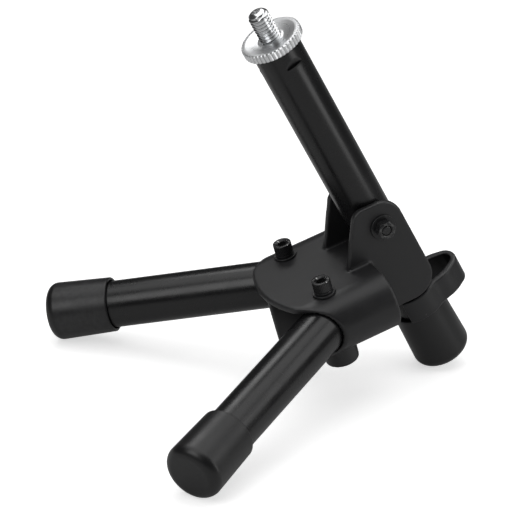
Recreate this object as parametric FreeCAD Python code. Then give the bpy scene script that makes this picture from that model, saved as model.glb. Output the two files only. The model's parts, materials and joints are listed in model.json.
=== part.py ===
import FreeCAD, Part
import math
import os

# Low folding tripod base for a microphone: a cast bracket carries two swinging
# front legs and a leaning centre tube, whose lower end is the rear foot.
# Everything is modelled in the bracket's own frame first: origin at the tilt
# pivot, +X towards the front legs, +Y to the left, +Z square to the top plate.
# The last section tips that frame forward and sets the three feet on the floor.
# Millimetres and degrees.

Vec = FreeCAD.Vector
os.makedirs("parts", exist_ok=True)

# Tubes and the gaps between pieces
tube_dia = 22.0
tube_wall = 1.5
body_gap = 0.3
plate_tilt = 17.5          # top plate, nose down from level
tube_angle = 77.7          # centre tube, up from the plate
leg_splay = 33.2           # each leg, out from straight ahead

# Bracket casting
wall = 2.8
leg_drop = 28.4            # pivot down to the plane of the leg axes
leg_screw_x = 37.0
leg_screw_y = 21.5
channel_y = 23.5           # centre of the half-round side walls
body_rear_x = 9.7
nose_x = 59.0
nose_radius = 51.3
shoulder_angle = 48.9      # the casting ends at each leg in a plane turned this far
shoulder_reach = 52.5      # pivot out to that plane, square to it
shoulder_blend = 9.0       # where the plane runs into the round nose
front_round = 1.1          # outer edge all round the front
mouth_radius = 11.45       # opening round each spread leg
floor_arc_radius = 23.0    # front outline of each lower flange
web_thickness = 3.0
web_front_x = 57.2
boss_radius = 7.8
boss_height = 7.8
ear_thickness = 3.0
ear_top_z = 12.2
ear_front_x = 20.6
ear_front_lean = 19.9
ear_rear_offset = 11.4     # pivot back to the rear edge, which runs along the tube
ear_shoulder_z = -12.7
edge_round = 0.5
ear_foot_round = 1.6      # soft corner between each ear and the top plate

# Fasteners: M5 screws, washers and nuts
screw_radius = 2.5
screw_hole_radius = 2.65
head_radius = 4.25
head_height = 5.0
socket_flats = 4.0
socket_depth = 2.6
head_edge = 0.35
flat_washer_radius = 5.3
flat_washer_thickness = 1.0
spring_washer_radius = 4.3
spring_washer_thickness = 1.2
spring_washer_slit = 0.8
leg_screw_length = 35.0
nut_flats = 8.0
nut_height = 4.0
pivot_washer_radius = 6.0
pivot_bolt_recess = 0.3    # bolt end below the face of its nut
lock_nut_height = 5.0
lock_ring_height = 1.4     # nylon ring at the free end of each lock nut
sleeve_radius = 4.0
sleeve_bore_radius = 2.55
sleeve_length = 21.5       # just below the crown of its tube at both ends

# Legs, rear foot and their rubber caps
leg_tail = 12.0            # leg behind its screw
leg_reach = 118.0          # screw to the end of the cap
cap_length = 30.5
cap_mouth_radius = 12.8
cap_end_radius = 13.65
cap_edge_radius = 4.5
cap_floor = 3.5
cap_mouth_round = 0.6

# Top of the centre tube
tube_top = 101.0           # pivot up to the cut end
stud_radius = 4.7625       # 3/8 inch thread, major diameter
stud_top = 119.5
stud_core_radius = 4.4     # where the ring and the insert grip the thread
stud_bottom = 84.0
stud_tip = 1.6
insert_length = 20.0
ring_radius = 14.0
ring_height = 4.2
ring_running_gap = 0.05
ring_teeth = 44
ring_groove_radius = 0.55
ring_dish_depth = 0.5
ring_rim = 2.4
crimp_drop = 8.7           # tube end down to the crimp slit
crimp_width = 8.0
crimp_depth = 1.1
crimp_rise = 3.6

# Cable clip on the lower tube
clip_top = 43.6            # pivot down to the clip's upper edge
clip_height = 12.2
clip_arm_radius = 14.1
clip_lobe_radius = 5.5
clip_lobe_inner = 3.0
clip_lobe_reach = 20.7
clip_mouth_half = 50.0     # half angle of the front gap between the arms

# Worked-out values in the bracket frame
tube_r = tube_dia / 2
bore_r = tube_r - tube_wall
wall_inner_r = tube_r + body_gap
wall_outer_r = wall_inner_r + wall
ring_top = tube_top + body_gap + ring_height
plate_top = wall_outer_r - leg_drop
plate_under = plate_top - wall
body_bottom = -leg_drop - wall_outer_r
floor_top = body_bottom + wall
boss_bottom = body_bottom - boss_height
ear_inner_y = tube_r + body_gap
ear_outer_y = ear_inner_y + ear_thickness
tube_dir = Vec(math.cos(math.radians(tube_angle)), 0, math.sin(math.radians(tube_angle)))
tube_back = Vec(-tube_dir.z, 0, tube_dir.x)
across = Vec(0, 1, 0)
up = Vec(0, 0, 1)
forward = Vec(1, 0, 0)
origin = Vec(0, 0, 0)


def box(x0, x1, y0, y1, z0, z1):
    return Part.makeBox(x1 - x0, y1 - y0, z1 - z0, Vec(x0, y0, z0))


def rod(start, direction, radius, length):
    return Part.makeCylinder(radius, length, start, direction)


def pipe(start, direction, outer, inner, length):
    return rod(start, direction, outer, length).cut(rod(start, direction, inner, length))


def fuse_all(shapes):
    return shapes[0].fuse(shapes[1:]).removeSplitter()


def prism(points, path):
    outline = Part.makePolygon(points + [points[0]])
    return Part.Face(outline).extrude(path)


def hexagon(centre, direction, flats, height):
    points = []
    for corner in range(6):
        angle = math.radians(60 * corner + 30)
        reach = flats / math.sqrt(3)
        points.append(Vec(reach * math.cos(angle), reach * math.sin(angle), 0))
    return aim(prism(points, Vec(0, 0, height)), centre, direction)


def aim(shape, start, direction):
    """Carry a shape built along +Z from the origin to a start point and direction."""
    placed = shape.copy()
    carried = FreeCAD.Placement(start, FreeCAD.Rotation(up, direction))
    placed.Placement = carried.multiply(placed.Placement)
    return placed


def turned(edges):
    """Solid of revolution about Z from edges that close on the axis."""
    return Part.Face(Part.Wire(edges)).revolve(origin, up, 360)


def lines(points):
    return [Part.makeLine(a, b) for a, b in zip(points, points[1:])]


def chamfered_hex(centre, direction, flats, height, chamfer):
    """Hexagon whose outer corners are turned down at both faces."""
    reach = flats / math.sqrt(3)
    cut = [Vec(0, 0, 0), Vec(reach - chamfer, 0, 0), Vec(reach + 0.2, 0, 0.6 * chamfer)]
    cut += [Vec(reach + 0.2, 0, height - 0.6 * chamfer), Vec(reach - chamfer, 0, height)]
    cut += [Vec(0, 0, height), Vec(0, 0, 0)]
    barrel = turned(lines(cut))
    return hexagon(centre, direction, flats, height).common(aim(barrel, centre, direction))


def edges_where(shape, test):
    return [edge for edge in shape.Edges if test(edge)]


# ---------------------------------------------------------------- bracket body
def stadium(radius, x0, x1):
    """Solid of the side-wall section: flat between the two half-round sides."""
    length = x1 - x0
    middle = box(x0, x1, -channel_y, channel_y, -leg_drop - radius, -leg_drop + radius)
    left = rod(Vec(x0, channel_y, -leg_drop), forward, radius, length)
    right = rod(Vec(x0, -channel_y, -leg_drop), forward, radius, length)
    return fuse_all([middle, left, right])


def nose_outline():
    """Plan of the casting: a round nose between two slanting shoulders."""
    low = body_bottom - 1
    tall = 2 * wall_outer_r + 2
    angle = math.radians(shoulder_angle)
    wide = 40
    side_x = (shoulder_reach - wide * math.sin(angle)) / math.cos(angle)
    peak_x = shoulder_reach / math.cos(angle)
    points = [Vec(0, -wide, low), Vec(side_x, -wide, low), Vec(peak_x, 0, low),
              Vec(side_x, wide, low), Vec(0, wide, low)]
    disc = rod(Vec(nose_x - nose_radius, 0, low), up, nose_radius, tall)
    plan = prism(points, Vec(0, 0, tall)).common(disc)
    corners = edges_where(plan, lambda e: e.BoundBox.ZLength > 1 and e.BoundBox.XMin > 45
                          and 10 < abs(e.BoundBox.YMin) < 35)
    return plan.makeFillet(shoulder_blend, corners)


def front_blank():
    """Outside of the casting, with its front edges rounded above and below."""
    blank = stadium(wall_outer_r, body_rear_x, nose_x + 5).common(nose_outline())
    rear = edges_where(blank, lambda e: e.BoundBox.XMax < body_rear_x + 0.01)
    blank = blank.makeFillet(0.8, rear)
    half = plate_top - wall_outer_r
    front = edges_where(blank, lambda e: e.BoundBox.XLength > 0.5 and e.BoundBox.YLength > 0.5
                        and e.BoundBox.XMin > 30
                        and (e.BoundBox.ZMin > half - 11 or e.BoundBox.ZMax < half + 11))
    return blank.makeFillet(front_round, front)


def ear(side):
    """Side plate: the ear above the top plate and the cheek below it in one."""
    lean = math.tan(math.radians(ear_front_lean))
    back = tube_dir.x / tube_dir.z
    front_top = ear_front_x - lean * (ear_top_z - ear_shoulder_z)
    rear_top = -ear_rear_offset + back * ear_top_z
    rear_low = -ear_rear_offset + back * body_bottom
    y = ear_inner_y if side > 0 else -ear_outer_y
    points = [Vec(ear_front_x, y, body_bottom), Vec(ear_front_x, y, ear_shoulder_z),
              Vec(front_top, y, ear_top_z), Vec(rear_top, y, ear_top_z),
              Vec(rear_low, y, body_bottom)]
    plate = prism(points, Vec(0, ear_thickness, 0))
    for corner, radius in ((points[2], 6.0), (points[3], 10.5), (points[4], 11.4)):
        here = edges_where(plate, lambda e: e.BoundBox.YLength > 1
                           and abs(e.BoundBox.XMin - corner.x) < 0.01
                           and abs(e.BoundBox.ZMin - corner.z) < 0.01)
        plate = plate.makeFillet(radius, here)
    rim = edges_where(plate, lambda e: e.BoundBox.YLength < 0.01
                      and (e.BoundBox.ZMax > plate_top + 0.5 or e.BoundBox.XMin < -5))
    return plate.makeFillet(edge_round, rim)


def ear_foot(side):
    """Concave fillet where the outside of an ear meets the top plate."""
    low = plate_top - 0.5
    high = plate_top + ear_foot_round
    inner = side * (ear_outer_y - 0.5)
    outer = side * (ear_outer_y + ear_foot_round)
    x0 = body_rear_x + 1
    x1 = ear_front_x - 1
    bead = box(x0, x1, min(inner, outer), max(inner, outer), low, high)
    return bead.cut(rod(Vec(x0, outer, high), forward, ear_foot_round, x1 - x0))


def leg_axis(side, fold=0):
    angle = math.radians(leg_splay - fold)
    return Vec(math.cos(angle), side * math.sin(angle), 0)


def leg_centre(side):
    return Vec(leg_screw_x, side * leg_screw_y, -leg_drop)


def bracket_body():
    shell = front_blank()
    hollow = stadium(wall_inner_r, body_rear_x - 1, nose_x + 1)
    shell = shell.cut(hollow)
    shell = shell.cut(box(0, nose_x + 1, -ear_inner_y, ear_inner_y, body_bottom - 1, -leg_drop))
    upper = box(0, nose_x + 1, -40, 40, -leg_drop, plate_top + 1)
    lower = box(0, nose_x + 1, -40, 40, body_bottom - 1, -leg_drop)
    upper = shell.common(upper)
    floor_keep = [box(0, floor_arc_radius, -40, 40, body_bottom - 1, 0)]
    for side in (1, -1):
        centre = Vec(floor_arc_radius, side * leg_screw_y, body_bottom - 1)
        floor_keep.append(rod(centre, up, floor_arc_radius, 40))
    lower = shell.common(lower).common(fuse_all(floor_keep))
    body = fuse_all([upper, lower])
    for side in (1, -1):
        for fold in (0, 8, 16, 24):
            axis = leg_axis(side, fold)
            mouth = rod(leg_centre(side) - axis * 4, axis, mouth_radius, 80)
            mouth = mouth.common(box(0, 120, -90, 90, floor_top, plate_under))
            body = body.cut(mouth)
    web_half = web_thickness / 2
    web = box(body_rear_x, web_front_x, -web_half, web_half, body_bottom, plate_under + 0.5)
    cross = box(body_rear_x, body_rear_x + wall, -ear_inner_y, ear_inner_y, body_bottom,
                plate_under + 0.5)
    lip = box(4, body_rear_x + 1, -ear_inner_y, ear_inner_y, plate_under, plate_top)
    lip = lip.cut(rod(tube_dir * -40, tube_dir, tube_r + 0.35, 80))
    pieces = [body, web, cross, lip, ear(1), ear(-1)]
    for side in (1, -1):
        foot = Vec(leg_screw_x, side * leg_screw_y, boss_bottom)
        boss = rod(foot, up, boss_radius, boss_height + wall / 2)
        low_edge = edges_where(boss, lambda e: e.BoundBox.ZMax < boss_bottom + 0.01)
        pieces.append(boss.makeFillet(1.0, low_edge))
        pieces.append(ear_foot(side))
    body = fuse_all(pieces)
    for side in (1, -1):
        foot = Vec(leg_screw_x, side * leg_screw_y, boss_bottom - 1)
        body = body.cut(rod(foot, up, screw_hole_radius, 60))
        pocket = nut_pocket_depth + 1
        body = body.cut(hexagon(foot, up, nut_flats + 0.2, pocket))
    body = body.cut(rod(Vec(0, -30, 0), across, screw_hole_radius, 60))
    left_half = body.common(box(-60, 80, 0, 60, -60, 30))
    return fuse_all([left_half, left_half.mirror(origin, across)])


# ------------------------------------------------------------------- fasteners
leg_head_seat = plate_top + flat_washer_thickness + spring_washer_thickness
leg_screw_end = leg_head_seat - leg_screw_length
nut_pocket_depth = leg_screw_end - 0.3 - boss_bottom + lock_nut_height


def cap_screw(seat, direction, length):
    """Socket cap screw: direction points from the seat along the shank."""
    head = rod(origin, up * -1, head_radius, head_height)
    rim = edges_where(head, lambda e: e.BoundBox.ZMax < 0.01 - head_height)
    head = head.makeFillet(head_edge, rim)
    head = head.cut(hexagon(Vec(0, 0, -head_height), up, socket_flats, socket_depth))
    shank = rod(origin, up, screw_radius, length)
    tip = edges_where(shank, lambda e: e.BoundBox.ZMin > length - 0.01)
    shank = shank.makeChamfer(0.5, tip)
    return aim(fuse_all([head, shank]), seat, direction)


def spring_washer(seat):
    ring = pipe(seat, up, spring_washer_radius, screw_hole_radius, spring_washer_thickness)
    half = spring_washer_slit / 2
    slit = box(0, 10, -half, half, -1, spring_washer_thickness + 1)
    slit.Placement = FreeCAD.Placement(seat, FreeCAD.Rotation(up, -60))
    return ring.cut(slit)


def leg_fasteners():
    """Screws by side, then washers, lock nuts and nylon rings as matching pairs."""
    screws = {}
    flats = []
    springs = []
    nuts = []
    rings = []
    for side in (1, -1):
        top = Vec(leg_screw_x, side * leg_screw_y, 0)
        screws[side] = cap_screw(top + Vec(0, 0, leg_head_seat), up * -1, leg_screw_length)
        seat = top + Vec(0, 0, plate_top)
        flats.append(pipe(seat, up, flat_washer_radius, screw_hole_radius, flat_washer_thickness))
        springs.append(spring_washer(seat + Vec(0, 0, flat_washer_thickness)))
        nut_base = top + Vec(0, 0, leg_screw_end - 0.3)
        steel = lock_nut_height - lock_ring_height
        body = chamfered_hex(nut_base + Vec(0, 0, lock_ring_height), up, nut_flats, steel, 0.4)
        collar = pipe(nut_base, up, 3.75, 3.2, lock_ring_height)
        body = fuse_all([body, collar])
        nuts.append(body.cut(rod(nut_base, up, screw_radius, lock_nut_height)))
        rings.append(pipe(nut_base, up, 3.2, screw_radius, lock_ring_height))
    return screws, flats, springs, nuts, rings


def pivot_fasteners():
    washer_in = ear_outer_y
    washer_out = ear_outer_y + flat_washer_thickness
    washers = []
    for start in (washer_in, -washer_out):
        washers.append(pipe(Vec(0, start, 0), across, pivot_washer_radius, screw_hole_radius,
                            flat_washer_thickness))
    nut = chamfered_hex(Vec(0, washer_out, 0), across, nut_flats, nut_height, 0.5)
    nut = nut.cut(rod(Vec(0, washer_out, 0), across, screw_radius, nut_height))
    length = 2 * washer_out + nut_height - pivot_bolt_recess
    bolt = cap_screw(Vec(0, -washer_out, 0), across, length)
    return bolt, nut, washers


# ----------------------------------------------------- rubber caps and the legs
def rubber_cap():
    """Cap along +Z: its mouth at 0, its closed end at cap_length."""
    shoulder = cap_length - cap_edge_radius
    ring = cap_end_radius - cap_edge_radius
    mid = cap_edge_radius * math.sqrt(0.5)
    inside = cap_length - cap_floor
    edge = Part.Arc(Vec(cap_end_radius, 0, shoulder), Vec(ring + mid, 0, shoulder + mid),
                    Vec(ring, 0, cap_length)).toShape()
    lip = Part.Arc(Vec(cap_mouth_radius - cap_mouth_round, 0, 0),
                   Vec(cap_mouth_radius - 0.3 * cap_mouth_round, 0, 0.3 * cap_mouth_round),
                   Vec(cap_mouth_radius, 0, cap_mouth_round)).toShape()
    outline = lines([Vec(0, 0, inside), Vec(tube_r, 0, inside), Vec(tube_r, 0, 0),
                     Vec(cap_mouth_radius - cap_mouth_round, 0, 0)])
    outline += [lip]
    outline += lines([Vec(cap_mouth_radius, 0, cap_mouth_round), Vec(cap_end_radius, 0, shoulder)])
    outline += [edge]
    outline += lines([Vec(ring, 0, cap_length), Vec(0, 0, cap_length), Vec(0, 0, inside)])
    return turned(outline)


def leg(side):
    """Tube, cap and hinge sleeve of one front leg."""
    centre = leg_centre(side)
    axis = leg_axis(side)
    length = leg_tail + leg_reach - cap_floor
    tube = pipe(centre - axis * leg_tail, axis, tube_r, bore_r, length)
    tube = tube.cut(rod(centre - up * 20, up, sleeve_radius, 40))
    sleeve = pipe(centre - up * sleeve_length / 2, up, sleeve_radius, sleeve_bore_radius,
                  sleeve_length)
    cap = aim(rubber_cap(), centre + axis * (leg_reach - cap_length), axis)
    return tube, sleeve, cap


# --------------------------------------------------------- centre tube and foot
def rear_reach():
    """Pivot to the end of the rear cap, so that all three caps share one floor."""
    tilt = math.radians(plate_tilt)
    splay = math.radians(leg_splay)
    over_floor = math.radians(tube_angle - plate_tilt)
    ring = cap_end_radius - cap_edge_radius
    nose = leg_screw_x + (leg_reach - cap_edge_radius) * math.cos(splay)
    down = nose * math.sin(tilt) + leg_drop * math.cos(tilt)
    down += ring * math.sqrt(1 - (math.cos(splay) * math.sin(tilt)) ** 2)
    along = (down - ring * math.cos(over_floor)) / math.sin(over_floor)
    return along + cap_edge_radius, down + cap_edge_radius


foot_end, floor_depth = rear_reach()


def main_tube():
    bottom = -foot_end + cap_floor
    tube = pipe(tube_dir * bottom, tube_dir, tube_r, bore_r, tube_top - bottom)
    tube = tube.cut(rod(Vec(0, -20, 0), across, sleeve_radius, 40))
    slit_up = tube_top - crimp_drop
    for turn in (6, 126, 246):
        wedge = prism([Vec(tube_r - crimp_depth, -crimp_width / 2, slit_up),
                       Vec(tube_r + 2, -crimp_width / 2, slit_up),
                       Vec(tube_r + 2, -crimp_width / 2, slit_up + crimp_rise),
                       Vec(tube_r, -crimp_width / 2, slit_up + crimp_rise)],
                      Vec(0, crimp_width, 0))
        wedge.rotate(origin, up, 90 + turn)
        tube = tube.cut(aim(wedge, origin, tube_dir))
    return tube


def tube_insert():
    blank = rod(tube_dir * (tube_top - insert_length), tube_dir, bore_r, insert_length)
    return blank.cut(rod(tube_dir * stud_bottom, tube_dir, stud_core_radius, insert_length))


def thread_stud():
    """Stud: the free thread above the ring, and the gripped length below it."""
    free_start = ring_top + body_gap
    stud = rod(Vec(0, 0, free_start), up, stud_radius, stud_top - free_start)
    tip = edges_where(stud, lambda e: e.BoundBox.ZMin > stud_top - 0.01)
    stud = stud.makeChamfer(stud_tip, tip)
    core = rod(Vec(0, 0, stud_bottom), up, stud_core_radius, free_start + 1 - stud_bottom)
    return aim(fuse_all([stud, core]), origin, tube_dir)


def lock_ring():
    """Knurled ring that runs on the stud and locks whatever is screwed on it."""
    base = ring_top - ring_height
    top = ring_top
    bore = stud_core_radius + ring_running_gap
    inner_rim = ring_radius - ring_rim
    outline = [Vec(bore, 0, base), Vec(ring_radius - 0.4, 0, base), Vec(ring_radius, 0, base + 0.4),
               Vec(ring_radius, 0, top - 0.5), Vec(ring_radius - 0.5, 0, top),
               Vec(inner_rim, 0, top), Vec(bore + 1, 0, top - ring_dish_depth),
               Vec(bore, 0, top - ring_dish_depth), Vec(bore, 0, base)]
    ring = turned(lines(outline))
    grooves = []
    for tooth in range(ring_teeth):
        angle = 2 * math.pi * tooth / ring_teeth
        reach = ring_radius + 0.15
        foot = Vec(reach * math.cos(angle), reach * math.sin(angle), base - 1)
        grooves.append(rod(foot, up, ring_groove_radius, ring_height + 2))
    return aim(ring.cut(grooves), origin, tube_dir)


def clip_outline(arm, lobe, height):
    """Solid hull of the tube circle and the lobe circle behind it, along +Z."""
    angle = math.acos((arm - lobe) / clip_lobe_reach)
    points = []
    for radius, centre, sign in ((arm, 0, 1), (lobe, clip_lobe_reach, 1),
                                 (lobe, clip_lobe_reach, -1), (arm, 0, -1)):
        points.append(Vec(centre + radius * math.cos(angle), sign * radius * math.sin(angle), 0))
    middle = prism(points, Vec(0, 0, height))
    return fuse_all([middle, rod(origin, up, arm, height),
                     rod(Vec(clip_lobe_reach, 0, 0), up, lobe, height)])


def cable_clip():
    """Open clip sprung on the tube, with a closed lobe behind it for the cable."""
    outer = clip_outline(clip_arm_radius, clip_lobe_radius, clip_height)
    rims = edges_where(outer, lambda e: e.BoundBox.ZLength < 0.01)
    outer = outer.makeFillet(0.6, rims)
    clip = outer.cut(clip_outline(tube_r, clip_lobe_inner, clip_height))
    reach = 30
    half = math.radians(clip_mouth_half)
    gap = prism([Vec(0, 0, -1), Vec(-reach * math.cos(half), -reach * math.sin(half), -1),
                 Vec(-reach * 2, 0, -1), Vec(-reach * math.cos(half), reach * math.sin(half), -1)],
                Vec(0, 0, clip_height + 2))
    clip = clip.cut(gap)
    placed = clip.copy()
    low = tube_dir * (-clip_top - clip_height)
    turn = FreeCAD.Rotation(tube_back, tube_dir.cross(tube_back), tube_dir, "ZXY")
    placed.Placement = FreeCAD.Placement(low, turn)
    return placed


# ------------------------------------------------------- list of named sub-parts
screws, flat_washers, spring_washers, lock_nuts, lock_rings = leg_fasteners()
pivot_bolt, pivot_nut, pivot_washers = pivot_fasteners()
left_tube, left_sleeve, left_cap = leg(1)
right_tube, right_sleeve, right_cap = leg(-1)
rear_cap = aim(rubber_cap(), tube_dir * (cap_length - foot_end), tube_dir * -1)
pivot_sleeve = pipe(Vec(0, -sleeve_length / 2, 0), across, sleeve_radius, sleeve_bore_radius,
                    sleeve_length)

nodes = {
    "bracket_body": bracket_body(),
    "pivot_bolt": pivot_bolt,
    "pivot_nut": pivot_nut,
    "pivot_washers": Part.Compound(pivot_washers),
    "left_leg_screw": screws[1],
    "right_leg_screw": screws[-1],
    "leg_flat_washers": Part.Compound(flat_washers),
    "leg_spring_washers": Part.Compound(spring_washers),
    "leg_lock_nuts": Part.Compound(lock_nuts),
    "lock_nut_rings": Part.Compound(lock_rings),
    "main_tube": main_tube(),
    "pivot_sleeve": pivot_sleeve,
    "tube_insert": tube_insert(),
    "thread_stud": thread_stud(),
    "cable_clip": cable_clip(),
    "rear_foot_cap": rear_cap,
    "knurled_lock_ring": lock_ring(),
    "left_leg_tube": left_tube,
    "left_leg_sleeve": left_sleeve,
    "left_foot_cap": left_cap,
    "right_leg_tube": right_tube,
    "right_leg_sleeve": right_sleeve,
    "right_foot_cap": right_cap,
}

# ------------------------------------ stand the bracket frame on the three feet
lean = FreeCAD.Rotation(across, plate_tilt)
raised = FreeCAD.Placement(Vec(0, 0, floor_depth), lean)
ends = [nodes[name].copy() for name in ("left_foot_cap", "rear_foot_cap", "cable_clip")]
for shape in ends:
    shape.Placement = raised.multiply(shape.Placement)
front_x = ends[0].optimalBoundingBox(False).XMax
back_x = min(shape.optimalBoundingBox(False).XMin for shape in ends[1:])
centre_x = round((front_x + back_x) / 2, 2)
stand = FreeCAD.Placement(Vec(-centre_x, 0, floor_depth), lean)

for name, shape in nodes.items():
    placed = shape.copy()
    placed.Placement = stand.multiply(placed.Placement)
    placed.exportStep("parts/" + name + ".step")

for name, point in (("tilt pivot", origin), ("left leg screw", leg_centre(1)),
                    ("right leg screw", leg_centre(-1)),
                    ("ring top on the stud", tube_dir * ring_top),
                    ("stud tip", tube_dir * stud_top)):
    print(name, [round(value, 3) for value in stand.multVec(point)])
print("plate normal", [round(value, 6) for value in lean.multVec(up)])
print("tube direction", [round(value, 6) for value in lean.multVec(tube_dir)])
print("rear foot reach", round(foot_end, 2), "floor below pivot", round(floor_depth, 2))
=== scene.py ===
import json
import math

import bmesh
import bpy
from mathutils import Matrix, Vector


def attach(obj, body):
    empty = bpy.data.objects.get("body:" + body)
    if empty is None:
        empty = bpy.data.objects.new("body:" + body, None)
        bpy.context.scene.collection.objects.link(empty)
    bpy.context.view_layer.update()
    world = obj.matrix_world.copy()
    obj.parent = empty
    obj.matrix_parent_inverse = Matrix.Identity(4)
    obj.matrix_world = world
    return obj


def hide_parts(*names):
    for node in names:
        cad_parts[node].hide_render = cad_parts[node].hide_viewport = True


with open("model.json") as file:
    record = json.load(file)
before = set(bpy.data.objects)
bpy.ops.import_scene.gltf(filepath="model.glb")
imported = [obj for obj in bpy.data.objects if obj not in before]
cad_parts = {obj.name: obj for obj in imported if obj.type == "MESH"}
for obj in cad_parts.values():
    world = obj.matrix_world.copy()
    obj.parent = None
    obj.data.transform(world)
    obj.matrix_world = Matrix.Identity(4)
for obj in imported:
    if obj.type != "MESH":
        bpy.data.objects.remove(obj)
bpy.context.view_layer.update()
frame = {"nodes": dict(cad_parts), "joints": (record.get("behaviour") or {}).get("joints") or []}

# Camera: a long lens at the stand's left front, a little above it, rolled slightly.
view_azimuth = math.radians(155.96)
view_elevation = math.radians(24.04)
view_roll = math.radians(1.98)
view_distance = 1.2555
view_aim = Vector((0.01233, -0.01439, 0.06148))


def outward(azimuth, elevation):
    """Direction from the object; azimuth 0 is -Y and a quarter turn is +X."""
    level = math.cos(elevation)
    return Vector((math.sin(azimuth) * level, -math.cos(azimuth) * level, math.sin(elevation)))


camera = bpy.data.objects.new("camera", bpy.data.cameras.new("camera"))
camera.data.lens = 195.25
view_back = outward(view_azimuth, view_elevation)
view_turn = view_back.to_track_quat("Z", "Y").to_matrix().to_4x4()
view_spin = Matrix.Rotation(view_roll, 4, "Z")
camera.matrix_world = Matrix.Translation(view_aim + view_back * view_distance) @ view_turn @ view_spin
bpy.context.scene.collection.objects.link(camera)
bpy.context.scene.camera = camera
bpy.context.scene.view_settings.view_transform = "Standard"


# Stage: a plain pale floor under soft boxes. Those behind and to both sides draw the long
# streaks on the tubes, and the one overhead fills the top faces.
def node(tree, kind, inputs=(), **settings):
    """Shader node with its settings, and its inputs as values or as the sockets that feed them."""
    made = tree.nodes.new("ShaderNode" + kind)
    for name, value in settings.items():
        setattr(made, name, value)
    for name, value in dict(inputs).items():
        if isinstance(value, bpy.types.NodeSocket):
            tree.links.new(value, made.inputs[name])
        else:
            made.inputs[name].default_value = value
    return made


def material(name):
    """Material with an empty tree."""
    made = bpy.data.materials.new(name)
    made.use_nodes = True
    made.node_tree.nodes.clear()
    return made, made.node_tree


def principled(tree, inputs):
    """The material's shader and its output."""
    shader = node(tree, "BsdfPrincipled", inputs)
    node(tree, "OutputMaterial", {"Surface": shader.outputs["BSDF"]})


# The paper is brighter to the camera than in reflections. That stands in for the black flags
# that keep a floor's glare off a small dark product.
floor_paper, tree = material("floor_paper")
fibre = node(tree, "TexNoise", {"Scale": 900.0, "Detail": 4.0})
tone = node(tree, "ValToRGB", {"Fac": fibre.outputs["Fac"]})
tone.color_ramp.elements[0].color = (0.86, 0.86, 0.86, 1)
tone.color_ramp.elements[1].color = (0.90, 0.90, 0.90, 1)
seen = node(tree, "LightPath")
flagged = node(tree, "Mix", {0: seen.outputs["Is Camera Ray"], 6: (0.44, 0.44, 0.44, 1),
                             7: tone.outputs["Color"]}, data_type="RGBA")
glow = node(tree, "MapRange", {"Value": seen.outputs["Is Camera Ray"], "To Min": 0.12,
                               "To Max": 0.62})
principled(tree, {"Base Color": flagged.outputs[2], "Roughness": 0.8,
                  "Emission Color": (1, 1, 1, 1), "Emission Strength": glow.outputs["Result"]})

floor_reach = 3.0
bm = bmesh.new()
bmesh.ops.create_grid(bm, x_segments=1, y_segments=1, size=floor_reach)
floor_mesh = bpy.data.meshes.new("floor")
bm.to_mesh(floor_mesh)
bm.free()
floor = bpy.data.objects.new("floor", floor_mesh)
floor.data.materials.append(floor_paper)
bpy.context.scene.collection.objects.link(floor)

world = bpy.data.worlds.new("studio")
world.use_nodes = True
world.node_tree.nodes["Background"].inputs["Color"].default_value = (0.05, 0.05, 0.05, 1)
bpy.context.scene.world = world


def softbox(name, azimuth, elevation, distance, width, height, radiance):
    """Rectangular light that faces the stand: angles in degrees, sizes in metres."""
    lamp = bpy.data.lights.new(name, "AREA")
    lamp.shape = "RECTANGLE"
    lamp.size = width
    lamp.size_y = height
    lamp.energy = radiance * math.pi * width * height
    box = bpy.data.objects.new(name, lamp)
    away = outward(math.radians(azimuth), math.radians(elevation))
    turn = away.to_track_quat("Z", "Y").to_matrix().to_4x4()
    box.matrix_world = Matrix.Translation(Vector((0, 0, 0.09)) + away * distance) @ turn
    box.visible_camera = False
    bpy.context.scene.collection.objects.link(box)


softbox("overhead_box", 0, 84, 0.80, 1.3, 1.1, 1.3)
softbox("back_box", -4, 47, 0.85, 0.45, 0.20, 2.6)
softbox("front_left_box", 113, 33, 0.75, 0.42, 0.40, 2.4)
softbox("front_right_box", -134, 13, 0.55, 0.20, 0.44, 1.8)
softbox("side_right_box", -107, 32, 0.75, 0.30, 0.40, 1.4)


# ------------------------------------------------------------------ bracket casting
# The bracket is one die casting in zinc alloy: a top plate, half-round walls round the legs,
# a web between them, two ears and a boss under each screw. It is powder-coated satin black
# over the cast skin, so every edge and inner corner is slightly round.
joints = {joint["name"]: joint for joint in frame["joints"]}
across = Vector(joints["tube_tilt"]["axis"])
pivot = Vector(joints["tube_tilt"]["pos_m"])
plate_up = Vector(joints["left_leg_fold"]["axis"])
plate_forward = across.cross(plate_up)


def shader_group(name, inputs, outputs):
    """Node group with named inputs and outputs."""
    group = bpy.data.node_groups.new(name, "ShaderNodeTree")
    for socket, value in inputs.items():
        made = group.interface.new_socket(socket, in_out="INPUT", socket_type="NodeSocketFloat")
        made.default_value = value
    for socket in outputs:
        group.interface.new_socket(socket, in_out="OUTPUT", socket_type="NodeSocketFloat")
    return group, group.nodes.new("NodeGroupInput"), group.nodes.new("NodeGroupOutput")


def placed_group(tree, group, inputs=()):
    """A node group set in a material with that material's own values."""
    made = node(tree, "Group", node_tree=group)
    for name, value in dict(inputs).items():
        made.inputs[name].default_value = value
    return made


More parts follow.
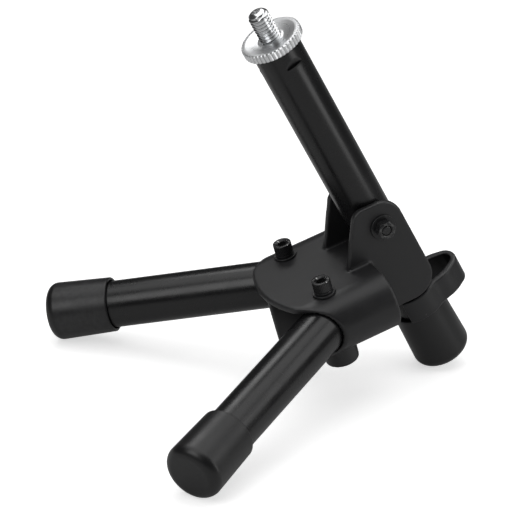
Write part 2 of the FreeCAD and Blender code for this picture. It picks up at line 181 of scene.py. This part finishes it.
# Skin: fine grain on a slower swell, for paint over a cast or drawn surface.
skin, inside, out = shader_group("skin", {"Grain Scale": 2500.0, "Swell Scale": 300.0,
                                          "Swell Share": 0.5}, ("Height", "Blotch"))
place = node(skin, "TexCoord")
grain = node(skin, "TexNoise", {"Vector": place.outputs["Object"], "Detail": 3.0,
                                "Scale": inside.outputs["Grain Scale"]})
swell = node(skin, "TexNoise", {"Vector": place.outputs["Object"], "Detail": 2.0,
                                "Scale": inside.outputs["Swell Scale"]})
both = node(skin, "Mix", {0: inside.outputs["Swell Share"], 2: grain.outputs["Fac"],
                          3: swell.outputs["Fac"]}, data_type="FLOAT")
patch = node(skin, "TexNoise", {"Vector": place.outputs["Object"], "Detail": 4.0, "Scale": 70.0})
skin.links.new(both.outputs[0], out.inputs["Height"])
skin.links.new(patch.outputs["Fac"], out.inputs["Blotch"])

# Rub: where handling polishes an outer edge, which is also a painted highlight along the edges,
# broken up by a coarse noise, and the inner corners, darkened as painted shade.
rub_sheen_and_shade, inside, out = shader_group("rub_sheen_and_shade", {"Start": 0.52, "End": 0.62, "Break Scale": 400.0},
                                ("Mask", "Corner Shade"))
shape = node(rub_sheen_and_shade, "NewGeometry")
edge = node(rub_sheen_and_shade, "MapRange", {"Value": shape.outputs["Pointiness"],
                              "From Min": inside.outputs["Start"],
                              "From Max": inside.outputs["End"]})
place = node(rub_sheen_and_shade, "TexCoord")
broken = node(rub_sheen_and_shade, "TexNoise", {"Vector": place.outputs["Object"], "Detail": 3.0,
                                "Scale": inside.outputs["Break Scale"]})
share = node(rub_sheen_and_shade, "MapRange", {"Value": broken.outputs["Fac"], "From Min": 0.3, "From Max": 0.6,
                               "To Min": 0.35})
mask = node(rub_sheen_and_shade, "Math", {0: edge.outputs["Result"], 1: share.outputs["Result"]},
            operation="MULTIPLY")
corner = node(rub_sheen_and_shade, "MapRange", {"Value": shape.outputs["Pointiness"], "From Min": 0.49,
                                "From Max": 0.42})
rub_sheen_and_shade.links.new(mask.outputs["Value"], out.inputs["Mask"])
rub_sheen_and_shade.links.new(corner.outputs["Result"], out.inputs["Corner Shade"])


def coated(name, deep, pale, worn_and_lit, roughness, spread, bump, grain_values, sheen_and_shade_values):
    """Black finish: two close tones, a rubbed edge whose lighter colour is partly wear and partly a
    painted highlight, and a grain that lifts the surface.
    """
    made, tree = material(name)
    surface = placed_group(tree, skin, grain_values)
    edges = placed_group(tree, rub_sheen_and_shade, sheen_and_shade_values)
    tone = node(tree, "Mix", {0: surface.outputs["Blotch"], 6: (*deep, 1), 7: (*pale, 1)},
                data_type="RGBA")
    worn_and_lit_edge = node(tree, "Mix", {0: edges.outputs["Mask"], 6: tone.outputs[2], 7: (*worn_and_lit, 1)},
                  data_type="RGBA")
    gloss = node(tree, "MapRange", {"Value": surface.outputs["Blotch"], "From Min": 0.3,
                                    "From Max": 0.7, "To Min": roughness - spread,
                                    "To Max": roughness + spread})
    lift = node(tree, "Bump", {"Height": surface.outputs["Height"], "Strength": 1.0,
                               "Distance": bump})
    principled(tree, {"Base Color": worn_and_lit_edge.outputs[2], "Roughness": gloss.outputs["Result"],
                      "Normal": lift.outputs["Normal"]})
    return made


# The worn colour on the casting's edges is partly wear and partly a painted highlight, as on the bright
# rear edge of the walls.
cast_enamel = coated("cast_enamel", (0.013, 0.013, 0.014), (0.020, 0.020, 0.021),
                     (0.14, 0.14, 0.14), roughness=0.40, spread=0.05, bump=0.00003,
                     grain_values={"Grain Scale": 1500.0, "Swell Scale": 350.0, "Swell Share": 0.5},
                     sheen_and_shade_values={"Start": 0.525, "End": 0.60})


def cast_copy(name, source, voxel, passes):
    """Merged copy of a solid, remade as one even skin and eased until its edges are round."""
    bm = bmesh.new()
    bm.from_mesh(frame["nodes"][source].data)
    bmesh.ops.remove_doubles(bm, verts=bm.verts, dist=1e-6)
    blank = bpy.data.meshes.new(source + "_blank")
    bm.to_mesh(blank)
    bm.free()
    piece = bpy.data.objects.new(name, blank)
    bpy.context.scene.collection.objects.link(piece)
    remade = piece.modifiers.new("remade", "REMESH")
    remade.mode = "VOXEL"
    remade.voxel_size = voxel
    eased = piece.modifiers.new("eased", "SMOOTH")
    eased.factor = 0.5
    eased.iterations = passes
    depsgraph = bpy.context.evaluated_depsgraph_get()
    whole = bpy.data.meshes.new_from_object(piece.evaluated_get(depsgraph))
    piece.modifiers.clear()
    piece.data = whole
    whole.name = name
    whole.shade_smooth()
    return piece


def hang(piece, finish, body, slot, *nodes):
    """Give a piece its finish and its body, and hide the solids that it stands for; the slot is not
    used.
    """
    piece.data.materials.clear()
    piece.data.materials.append(finish)
    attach(piece, body)
    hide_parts(*nodes)


casting = cast_copy("bracket_casting", "bracket_body", voxel=0.00055, passes=3)
hang(casting, cast_enamel, "bracket", "bracket_powder_coat", "bracket_body")


# --------------------------------------------------------------------- leg screws
# Two M5 socket cap screws in blackened steel are the hinge pins of the legs. The heads are
# upset and rolled with a straight knurl; the oxide is rubbed bright on its crests and rim,
# and that bright colour is also a painted highlight there.
def eased(corners, steps=5):
    """Profile points (radius, height), with each corner replaced by an arc of its own radius."""
    points = []
    for index, (radius, height, bend) in enumerate(corners):
        here = Vector((radius, height))
        if bend == 0:
            points.append(here)
            continue
        before = (Vector(corners[index - 1][:2]) - here).normalized()
        after = (Vector(corners[(index + 1) % len(corners)][:2]) - here).normalized()
        half = before.angle(after) / 2
        centre = here + (before + after).normalized() * bend / math.sin(half)
        start = here + before * bend / math.tan(half) - centre
        end = here + after * bend / math.tan(half) - centre
        for step in range(steps + 1):
            way = start.lerp(end, step / steps).normalized()
            points.append(centre + way * bend)
    return points


def outline(bm, points, closed=False):
    """Vertices and edges of a profile in millimetres, drawn beside the Z axis."""
    verts = [bm.verts.new((point[0] / 1000, 0, point[1] / 1000)) for point in points]
    edges = [bm.edges.new(pair) for pair in zip(verts, verts[1:])]
    if closed:
        edges.append(bm.edges.new((verts[-1], verts[0])))
    return verts, edges


def lathe(points, segments, closed=False):
    """Turn a profile in millimetres about Z."""
    bm = bmesh.new()
    verts, edges = outline(bm, points, closed)
    bmesh.ops.spin(bm, geom=verts + edges, axis=(0, 0, 1), cent=(0, 0, 0), dvec=(0, 0, 0),
                   angle=2 * math.pi, steps=segments, use_merge=True)
    bmesh.ops.remove_doubles(bm, verts=bm.verts, dist=1e-7)
    return bm


def reshape(bm, rule):
    """Move each vertex to the radius that rule(radius, angle, height) gives, all in millimetres."""
    for vert in bm.verts:
        radius = math.hypot(vert.co.x, vert.co.y)
        if radius < 1e-6:
            continue
        angle = math.atan2(vert.co.y, vert.co.x)
        wanted = rule(radius * 1000, angle, vert.co.z * 1000) / 1000
        vert.co.x *= wanted / radius
        vert.co.y *= wanted / radius


def axes_at(point, x_axis, z_axis):
    """Matrix that carries a shape built about Z from the origin to a place on the stand."""
    y_axis = z_axis.cross(x_axis)
    turn = Matrix((x_axis, y_axis, z_axis)).transposed()
    return Matrix.Translation(point) @ turn.to_4x4()


def finished(name, shapes, crease=35):
    """One piece from shapes and their places, with smooth faces and creased corners."""
    whole = bmesh.new()
    part_mesh = bpy.data.meshes.new(name)
    for bm, place in shapes:
        bmesh.ops.recalc_face_normals(bm, faces=bm.faces)
        bmesh.ops.transform(bm, matrix=place, verts=bm.verts)
        bm.to_mesh(part_mesh)
        bm.free()
        whole.from_mesh(part_mesh)
    for edge in whole.edges:
        edge.smooth = len(edge.link_faces) == 2 and edge.calc_face_angle() < math.radians(crease)
    for face in whole.faces:
        face.smooth = True
    whole.to_mesh(part_mesh)
    whole.free()
    piece = bpy.data.objects.new(name, part_mesh)
    bpy.context.scene.collection.objects.link(piece)
    shading = piece.modifiers.new("shading", "WEIGHTED_NORMAL")
    shading.keep_sharp = True
    return piece


def hex_radius(angle, flats):
    """Distance from the axis to the side of a hexagon in a given direction."""
    turn = (angle + math.pi / 6) % (math.pi / 3) - math.pi / 6
    return flats / 2 / math.cos(turn + (math.pi / 6 if turn < 0 else -math.pi / 6))


def cap_screw(length):
    """M5 socket cap screw: the seat of its head at 0, the socket at the top."""
    head = 5.0
    reach = 4.25
    shank = 2.5
    socket_flats = 4.0
    socket_blank = 2.2
    socket_floor = head - 2.6
    teeth = 36
    tooth_depth = 0.16
    plain_rim = 0.8
    corners = [(0, socket_floor, 0), (socket_blank, socket_floor, 0),
               (socket_blank, head - 0.55, 0), (2.95, head, 0.1),
               (reach - 0.02, head, 0.35), (reach, head - 0.6, 0), (reach, head - 0.9, 0),
               (reach, 0.9, 0), (reach, 0.6, 0), (reach - 0.02, 0, 0.25), (shank, 0, 0.15),
               (shank, -length + 0.6, 0), (1.9, -length, 0.1), (0, -length, 0)]
    bm = lathe(eased(corners, steps=4), segments=144)

    def rule(radius, angle, height):
        if abs(radius - socket_blank) < 0.01:
            return hex_radius(angle, socket_flats)
        if radius > reach - 0.05 and plain_rim < height < head - plain_rim:
            return radius - tooth_depth * (0.5 - 0.5 * math.cos(teeth * angle)) ** 0.7
        return radius

    reshape(bm, rule)
    return bm


def metal(name, deep, pale, worn_and_lit, roughness, spread, sheen_and_shade_values, scratches, oxide=False):
    """Metal in two close tones with worn edges that are partly painted highlights, inner corners
    darkened as painted shade, and fine scratches, bare or under dark oxide.
    """
    made, tree = material(name)
    surface = placed_group(tree, skin, {"Grain Scale": scratches, "Swell Scale": 600.0,
                                        "Swell Share": 0.3})
    edges = placed_group(tree, rub_sheen_and_shade, sheen_and_shade_values)
    tone = node(tree, "Mix", {0: surface.outputs["Blotch"], 6: (*deep, 1), 7: (*pale, 1)},
                data_type="RGBA")
    # Inner corners are darkened towards near black: painted shade.
    corner_shaded = node(tree, "Mix", {0: edges.outputs["Corner Shade"], 6: tone.outputs[2],
                               7: (0.02, 0.02, 0.02, 1)}, data_type="RGBA")
    # Outer edges take the worn colour: partly wear, partly a painted highlight.
    worn_and_lit_edge = node(tree, "Mix", {0: edges.outputs["Mask"], 6: corner_shaded.outputs[2], 7: (*worn_and_lit, 1)},
                  data_type="RGBA")
    gloss = node(tree, "MapRange", {"Value": surface.outputs["Height"], "From Min": 0.3,
                                    "From Max": 0.7, "To Min": roughness - spread,
                                    "To Max": roughness + spread})
    lift = node(tree, "Bump", {"Height": surface.outputs["Height"], "Strength": 1.0,
                               "Distance": 0.000006})
    bare = edges.outputs["Mask"] if oxide else 1.0
    principled(tree, {"Base Color": worn_and_lit_edge.outputs[2], "Metallic": bare,
                      "Roughness": gloss.outputs["Result"], "Normal": lift.outputs["Normal"]})
    return made


# Its pale worn colour on the rubbed crests and rim is partly wear and partly a painted highlight.
black_oxide = metal("black_oxide", (0.010, 0.010, 0.011), (0.020, 0.020, 0.021),
                    (0.62, 0.62, 0.61), roughness=0.26, spread=0.06,
                    sheen_and_shade_values={"Start": 0.55, "End": 0.63, "Break Scale": 900.0},
                    scratches=2500.0, oxide=True)

# Its worn edge colour is partly wear and partly a painted highlight.
washer_oxide = metal("washer_oxide", (0.008, 0.008, 0.009), (0.015, 0.015, 0.016),
                     (0.16, 0.16, 0.155), roughness=0.36, spread=0.06,
                     sheen_and_shade_values={"Start": 0.58, "End": 0.70, "Break Scale": 900.0},
                     scratches=2500.0, oxide=True)

plate_top = -14.3
washer_height = 1.0
spring_height = 1.2
screw_x = 37.0
screw_y = 21.5
leg_screw_length = 35.0
for side, hand in ((1, "left"), (-1, "right")):
    seat_height = plate_top + washer_height + spring_height
    seat = (pivot + (plate_forward * screw_x + across * side * screw_y
                     + plate_up * seat_height) / 1000)
    place = axes_at(seat, plate_forward, plate_up)
    piece = finished(hand + "_screw_knurled", [(cap_screw(leg_screw_length), place)])
    hang(piece, black_oxide, "bracket", "black_oxide_steel", hand + "_leg_screw")


# ------------------------------------------------------------- washers under the heads
# Under each head sit a flat washer, stamped from strip so that its upper edge is rounded by
# the die, and a split spring washer coiled from square wire. Both are black oxide steel.
def flat_washer(outer, inner, height):
    """Stamped washer standing on 0."""
    corners = [(inner, 0, 0.05), (outer, 0, 0.1), (outer, height, 0.25), (inner, height, 0.1)]
    return lathe(eased(corners, steps=3), segments=96, closed=True)


def coil_washer(outer, inner, height):
    """Split ring whose ends stand a little apart in height."""
    coil_turn = math.radians(349)
    coil_rise = 0.00010
    split_turn = math.radians(-55)
    steps = 80
    corners = [(inner, 0, 0.1), (outer, 0, 0.1), (outer, height, 0.15), (inner, height, 0.1)]
    bm = bmesh.new()
    verts, edges = outline(bm, eased(corners, steps=2), closed=True)
    bm.faces.new(verts)
    made = bmesh.ops.spin(bm, geom=verts + edges, axis=(0, 0, 1), cent=(0, 0, 0),
                          dvec=(0, 0, coil_rise / steps), angle=coil_turn, steps=steps)
    last = [part for part in made["geom_last"] if isinstance(part, bmesh.types.BMEdge)]
    bmesh.ops.contextual_create(bm, geom=last)
    bmesh.ops.rotate(bm, verts=bm.verts, matrix=Matrix.Rotation(split_turn, 3, "Z"))
    return bm


washer_hole = 2.65
washer_radius = 5.3
spring_radius = 4.3
spring_wire = spring_height - 0.1
flats = []
springs = []
for side in (1, -1):
    base = pivot + (plate_forward * screw_x + across * side * screw_y + plate_up * plate_top) / 1000
    flat = flat_washer(washer_radius, washer_hole, washer_height)
    flats.append((flat, axes_at(base, plate_forward, plate_up)))
    above = base + plate_up * washer_height / 1000
    spring = coil_washer(spring_radius, washer_hole, spring_wire)
    springs.append((spring, axes_at(above, plate_forward, plate_up)))
hang(finished("flat_washer_pair", flats), washer_oxide, "bracket", "black_oxide_steel",
     "leg_flat_washers")
hang(finished("spring_washer_pair", springs), washer_oxide, "bracket", "black_oxide_steel",
     "leg_spring_washers")


# ------------------------------------------------- lock nuts in the bosses and sleeves
# The nuts under the bosses and the sleeves through the tubes are zinc-plated steel, and the
# lock nuts hold a ring of natural nylon. They sit inside bosses and tubes, so they are shown
# as the solids themselves.
# Its worn edge colour is partly wear and partly a painted highlight.
zinc_plate = metal("zinc_plate", (0.50, 0.51, 0.52), (0.62, 0.63, 0.63), (0.75, 0.75, 0.74),
                   roughness=0.34, spread=0.08, sheen_and_shade_values={"Start": 0.53, "End": 0.62},
                   scratches=1800.0)

nylon, tree = material("nylon_natural")
surface = placed_group(tree, skin, {"Grain Scale": 1200.0, "Swell Scale": 200.0})
tone = node(tree, "Mix", {0: surface.outputs["Blotch"], 6: (0.62, 0.62, 0.58, 1),
                          7: (0.76, 0.76, 0.72, 1)}, data_type="RGBA")
lift = node(tree, "Bump", {"Height": surface.outputs["Height"], "Strength": 1.0, "Distance": 0.00002})
principled(tree, {"Base Color": tone.outputs[2], "Roughness": 0.45,
                  "Subsurface Weight": 0.1, "Normal": lift.outputs["Normal"]})

for name, finish in (("leg_lock_nuts", zinc_plate), ("lock_nut_rings", nylon),
                     ("pivot_sleeve", zinc_plate), ("tube_insert", zinc_plate),
                     ("left_leg_sleeve", zinc_plate), ("right_leg_sleeve", zinc_plate)):
    frame["nodes"][name].data.materials.clear()
    frame["nodes"][name].data.materials.append(finish)


# ------------------------------------------------------------------- tilt pivot
# An M5 cap screw crosses both ears. Its head is on the far side, and its end stands in a
# black hexagon nut with turned-down corners; a stamped washer lies under each.
def hex_nut(flats, height):
    """Nut standing on 0, its corners turned down at both faces."""
    blank = 10.0
    mouth = 2.9
    bore = 2.5
    mouth_depth = 0.4
    face_inset = 0.12
    corner_slope = 1.7
    rows = [0, 0.12, 0.25, 0.4, 0.6, 1.2]
    corners = [(mouth, 0, 0)]
    corners += [(blank, row, 0) for row in rows]
    corners += [(blank, height - row, 0) for row in rows[::-1]]
    corners += [(mouth, height, 0), (bore, height - mouth_depth, 0), (bore, mouth_depth, 0)]
    bm = lathe(eased(corners), segments=144, closed=True)

    def rule(radius, angle, level):
        if radius < blank - 1:
            return radius
        end = min(level, height - level)
        return min(hex_radius(angle, flats), flats / 2 - face_inset + end * corner_slope)

    reshape(bm, rule)
    return bm


outside = 15.3
pivot_screw_length = 34.3
pivot_washer_radius = 6.0
side_face = axes_at(pivot - across * outside / 1000, plate_forward, -across)
far_screw = finished("pivot_screw", [(cap_screw(pivot_screw_length), side_face)])
hang(far_screw, black_oxide, "bracket", "black_oxide_steel", "pivot_bolt")
near_face = axes_at(pivot + across * outside / 1000, plate_forward, across)
near_nut = finished("pivot_nut_turned", [(hex_nut(flats=8.0, height=4.0), near_face)])
hang(near_nut, black_oxide, "bracket", "black_oxide_steel", "pivot_nut")
pair = []
for side in (1, -1):
    ear_face = pivot + across * side * (outside - washer_height) / 1000
    flat = flat_washer(pivot_washer_radius, washer_hole, washer_height)
    pair.append((flat, axes_at(ear_face, plate_forward, across * side)))
hang(finished("pivot_washer_pair", pair), washer_oxide, "bracket", "black_oxide_steel",
     "pivot_washers")


# ------------------------------------------------------------------- centre tube
# Drawn steel tube, 22 mm by 1.5 mm, in smooth black stove enamel. Near its top three dents
# are punched in from outside: each is sharp at its lower edge and holds the bush inside.
tube_axis = Vector(joints["lock_ring_spin"]["axis"])
tube_front = across.cross(tube_axis)
tube_place = axes_at(pivot, tube_front, tube_axis)
# Its worn edge colour is partly wear and partly a painted highlight.
tube_enamel = coated("tube_enamel", (0.0045, 0.0045, 0.005), (0.0065, 0.0065, 0.007),
                     (0.030, 0.030, 0.031), roughness=0.27, spread=0.04, bump=0.000004,
                     grain_values={"Grain Scale": 900.0, "Swell Scale": 160.0, "Swell Share": 0.7},
                     sheen_and_shade_values={"Start": 0.56, "End": 0.66})

tube_radius = 11.0
bore_radius = 9.5
tube_end = 101.0
slit = 92.3
dent_depth = 1.1
dent_rise = 3.6
dent_half = math.radians(20)
lip_height = 1.2
lip_rise = 0.22
dent_turns = [math.radians(90 + turn) for turn in (6, 126, 246)]


def dented(radius, angle, height):
    """Radius with the dents pressed in above the slit and a low lip raised below it."""
    if radius < tube_radius - 0.1 or not slit - lip_height < height < slit + dent_rise:
        return radius
    depth = dent_depth * (1 - (height - slit) / dent_rise)
    swell = lip_rise * (1 - (slit - height) / lip_height)
    for turn in dent_turns:
        away = abs((angle - turn + math.pi) % (2 * math.pi) - math.pi)
        if height > slit and away < dent_half:
            radius = min(radius, (radius - depth) / math.cos(away))
        if height < slit and away < dent_half:
            radius += swell * math.cos(away / dent_half * math.pi / 2)
    return radius


tube_low = -82.91
slit_half = 0.04
wall_rows = [slit - lip_height * row / 4 for row in range(4, 0, -1)]
wall_rows += [slit - slit_half, slit + slit_half]
wall_rows += [slit + dent_rise * row / 8 for row in range(1, 9)]
corners = [(bore_radius, tube_low, 0.2), (tube_radius, tube_low, 0.4)]
corners += [(tube_radius, row, 0) for row in wall_rows]
corners += [(tube_radius, tube_end, 0.3), (bore_radius, tube_end, 0.2)]
bm = lathe(eased(corners, steps=3), segments=180, closed=True)
reshape(bm, dented)
centre_tube = finished("centre_tube_drawn", [(bm, tube_place)], crease=20)
hang(centre_tube, tube_enamel, "centre_tube", "tube_enamel", "main_tube")


# ------------------------------------------------------------------- threaded stud
# Nickel-plated steel stud with a rolled 3/8 inch - 16 thread and a turned round tip. Its
# lower end is fixed in the bush inside the tube.
def threaded(radius, pitch, depth, start, end, tip):
    """Right-hand thread about Z, cut square below and run out on a rounded tip above."""
    flat = pitch / 8
    root_end = flat * 1.6
    crest_start = pitch / 2 + flat * 0.2
    crest_end = pitch / 2 + flat * 1.4
    bluntness = 1.08
    steps = 72
    points = []
    height = start - 2 * pitch
    while height < end + 2 * pitch:
        points += [(radius - depth, height), (radius - depth, height + root_end),
                   (radius, height + crest_start), (radius, height + crest_end)]
        height += pitch
    bm = bmesh.new()
    verts, edges = outline(bm, points)
    bmesh.ops.spin(bm, geom=verts + edges, axis=(0, 0, 1), cent=(0, 0, 0),
                   dvec=(0, 0, pitch / steps / 1000), angle=2 * math.pi, steps=steps)
    bmesh.ops.remove_doubles(bm, verts=bm.verts, dist=1e-6)

    def domed(reach, angle, level):
        rise = min(max(level - end + tip, 0), tip)
        return min(reach, radius * math.sqrt(1 - (rise / tip / bluntness) ** 2))

    reshape(bm, domed)
    for level, outward_z in ((end, 1), (start, -1)):
        cut = bmesh.ops.bisect_plane(bm, geom=bm.verts[:] + bm.edges[:] + bm.faces[:], dist=1e-7,
                                     plane_co=(0, 0, level / 1000), plane_no=(0, 0, outward_z),
                                     clear_outer=True)
        rim = [part for part in cut["geom_cut"] if isinstance(part, bmesh.types.BMEdge)]
        bmesh.ops.contextual_create(bm, geom=rim)
    return bm


# Its worn edge colour is partly wear and partly a painted highlight.
nickel = metal("bright_nickel", (0.74, 0.75, 0.76), (0.84, 0.85, 0.86), (0.94, 0.94, 0.94),
               roughness=0.18, spread=0.07, sheen_and_shade_values={"Start": 0.53, "End": 0.60},
               scratches=2200.0)
bm = threaded(radius=4.7625, pitch=1.5875, depth=0.92, start=84.0, end=119.5, tip=2.8)
stud = finished("stud_threaded", [(bm, tube_place)], crease=50)
hang(stud, nickel, "centre_tube", "bright_nickel", "thread_stud")


# ------------------------------------------------------------------- lock ring
# Knurled ring turned from brass bar and nickel-plated. Its top is faced into a shallow dish that
# keeps the lathe's round marks, and its rim carries straight rolled grooves.
def turned_metal(name, centre, x_axis, z_axis, tones, roughness):
    """Plated metal with the fine round marks of a lathe about its own axis, and painted shade in its
    inner corners.
    """
    made, tree = material(name)
    place = node(tree, "TexCoord")
    local = node(tree, "Mapping", {"Vector": place.outputs["Object"], "Location": centre,
                                   "Rotation": axes_at(centre, x_axis, z_axis).to_euler()},
                 vector_type="TEXTURE")
    parts = node(tree, "SeparateXYZ", {"Vector": local.outputs["Vector"]})
    flat = node(tree, "CombineXYZ", {"X": parts.outputs["X"], "Y": parts.outputs["Y"]})
    reach = node(tree, "VectorMath", {0: flat.outputs["Vector"]}, operation="LENGTH")
    marks = node(tree, "CombineXYZ", {"X": reach.outputs["Value"], "Z": parts.outputs["Z"]})
    lines = node(tree, "TexNoise", {"Vector": marks.outputs["Vector"], "Scale": 1500.0, "Detail": 3.0})
    tarnish = node(tree, "TexNoise", {"Vector": place.outputs["Object"], "Scale": 240.0, "Detail": 3.0})
    edges = placed_group(tree, rub_sheen_and_shade)
    clean = node(tree, "Mix", {0: tarnish.outputs["Fac"], 6: (*tones[0], 1), 7: (*tones[1], 1)},
                 data_type="RGBA")
    # Inner corners are darkened towards grey: painted shade.
    tone = node(tree, "Mix", {0: edges.outputs["Corner Shade"], 6: clean.outputs[2],
                              7: (0.12, 0.12, 0.12, 1)}, data_type="RGBA")
    gloss = node(tree, "MapRange", {"Value": lines.outputs["Fac"], "From Min": 0.3, "From Max": 0.7,
                                    "To Min": roughness - 0.06, "To Max": roughness + 0.10})
    lift = node(tree, "Bump", {"Height": lines.outputs["Fac"], "Strength": 1.0,
                               "Distance": 0.00005})
    principled(tree, {"Base Color": tone.outputs[2], "Metallic": 1.0,
                      "Roughness": gloss.outputs["Result"], "Normal": lift.outputs["Normal"]})
    return made


ring_top = 105.5
ring_low = 101.3
ring_radius = 14.0
ring_teeth = 44
groove_depth = 0.55
groove_root = 13.2
groove_fade = 0.6
ring_nickel = turned_metal("ring_nickel", pivot, tube_front, tube_axis,
                           tones=((0.84, 0.85, 0.86), (0.94, 0.95, 0.96)), roughness=0.30)
corners = [(4.9, ring_low, 0), (13.6, ring_low, 0.1), (ring_radius, ring_low + 0.4, 0.1),
           (ring_radius, ring_low + 1.0, 0), (ring_radius, ring_top - 1.0, 0),
           (ring_radius, ring_top - 0.5, 0.2), (13.4, ring_top, 0.2), (11.8, ring_top - 0.05, 0.3),
           (6.2, ring_top - 0.75, 1.0), (5.2, ring_top - 0.6, 0.1), (4.9, ring_top - 0.9, 0)]
bm = lathe(eased(corners, steps=4), segments=352, closed=True)


def knurled(radius, angle, height):
    """Radius with narrow straight grooves round the rim."""
    if radius < groove_root:
        return radius
    groove = (0.5 + 0.5 * math.cos(ring_teeth * angle)) ** 1.3
    return radius - groove_depth * groove * min(1, (radius - groove_root) / groove_fade)


reshape(bm, knurled)
lock_ring = finished("lock_ring_knurled", [(bm, tube_place)], crease=40)
hang(lock_ring, ring_nickel, "lock_ring", "bright_nickel", "knurled_lock_ring")


# ------------------------------------------------------------------- cable clip
# Black nylon clip moulded in one piece and sprung round the lower tube, with a loop behind
# it for the cable. The mould leaves a fine satin texture. The loop is drawn wider than in
# the solid, most of all at its rear end.
# Its worn edge colour is partly wear and partly a painted highlight.
clip_black = coated("clip_black", (0.010, 0.010, 0.011), (0.015, 0.015, 0.016),
                    (0.045, 0.045, 0.046), roughness=0.38, spread=0.05, bump=0.00002,
                    grain_values={"Grain Scale": 2200.0, "Swell Scale": 300.0, "Swell Share": 0.25},
                    sheen_and_shade_values={"Start": 0.54, "End": 0.64})
clip = cast_copy("clip_moulded", "cable_clip", voxel=0.0004, passes=2)
loop_start = 0.008
loop_length = 0.012
loop_swell = 0.38
for vert in clip.data.vertices:
    behind = (pivot - vert.co).dot(tube_front)
    share = min(max((behind - loop_start) / loop_length, 0), 1)
    sideways = (vert.co - pivot).dot(across)
    vert.co += across * sideways * loop_swell * share * share * (3 - 2 * share)
hang(clip, clip_black, "centre_tube", "clip_plastic", "cable_clip")


# ------------------------------------------------------------------- rubber caps
# Three equal caps moulded in black rubber are pushed on the ends of the tubes. Each swells a
# little towards its closed end, which is well rounded; the rim of its mouth is rounded too.
cap_length = 30.5


def rubber_cap():
    """Cap about Z, its mouth at 0 and its closed end at its full length."""
    bore = 11.02
    depth = 27
    corners = [(0, depth, 0), (bore, depth, 0.8), (bore, 1.2, 0), (11.7, 0, 0.25), (12.8, 0, 0.6),
               (13.25, 16, 40), (13.65, cap_length, 4.5), (0, cap_length, 0)]
    return lathe(eased(corners, steps=10), segments=128)


# Its worn edge colour is partly wear and partly a painted highlight.
foot_rubber = coated("foot_rubber", (0.0075, 0.0075, 0.008), (0.011, 0.011, 0.0115),
                     (0.024, 0.024, 0.025), roughness=0.36, spread=0.05, bump=0.000012,
                     grain_values={"Grain Scale": 1800.0, "Swell Scale": 220.0, "Swell Share": 0.35},
                     sheen_and_shade_values={"Start": 0.55, "End": 0.66})
rear_end = -86.41
rear_place = axes_at(pivot + tube_axis * (rear_end + cap_length) / 1000, tube_front, -tube_axis)
rear_foot = finished("rear_foot_rubber", [(rubber_cap(), rear_place)], crease=50)
hang(rear_foot, foot_rubber, "centre_tube", "foot_rubber", "rear_foot_cap")


# ------------------------------------------------------------------- front legs
# Each leg is the same enamelled tube, cut square and deburred. Its inner end turns in the
# casting on the cap screw, and its outer end is closed by a rubber cap.
leg_tail = -12.0
leg_end = 114.5
leg_reach = 118.0
splay = math.radians(33.2)
for side, hand in ((1, "left"), (-1, "right")):
    hinge = Vector(joints[hand + "_leg_fold"]["pos_m"])
    along = plate_forward * math.cos(splay) + across * side * math.sin(splay)
    corners = [(bore_radius, leg_tail, 0.2), (tube_radius, leg_tail, 0.4),
               (tube_radius, leg_end, 0.4), (bore_radius, leg_end, 0.2)]
    bm = lathe(eased(corners, steps=3), segments=128, closed=True)
    tube = finished(hand + "_leg_drawn", [(bm, axes_at(hinge, plate_up, along))])
    hang(tube, tube_enamel, hand + "_leg", "tube_enamel", hand + "_leg_tube")
    mouth = hinge + along * (leg_reach - cap_length) / 1000
    cap_place = axes_at(mouth, plate_up, along)
    cap = finished(hand + "_foot_rubber", [(rubber_cap(), cap_place)], crease=50)
    hang(cap, foot_rubber, hand + "_leg", "foot_rubber", hand + "_foot_cap")
